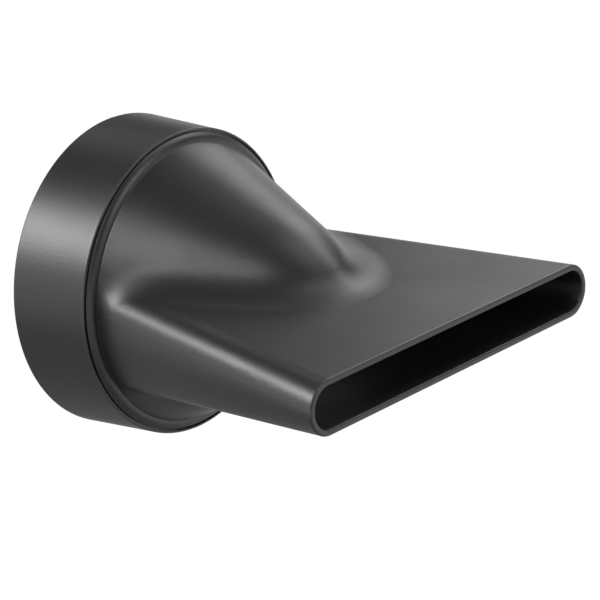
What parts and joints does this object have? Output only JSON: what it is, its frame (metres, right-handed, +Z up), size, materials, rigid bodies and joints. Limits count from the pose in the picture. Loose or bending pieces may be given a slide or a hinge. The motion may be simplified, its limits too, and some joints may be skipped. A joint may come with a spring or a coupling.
{
  "type": "hair dryer concentrator nozzle",
  "caption": "Push-on concentrator nozzle for a hair dryer: a round socket collar narrows over a soft cone-shaped hump into a wide, flat outlet slot with round ends.",
  "frame": {"origin": "centre of the collar's rear face, where the dryer's barrel goes in", "axes": "+Y along the collar's axis, out of the socket; the outlet faces -Y; X along the outlet slot; +Z up"},
  "size_m": [0.0808, 0.0796, 0.06],
  "materials": {
    "shell": "satin black, very finely grained"
  },
  "bodies": {
    "root": {"concentrator_nozzle": "shell"}
  },
  "joints": []
}
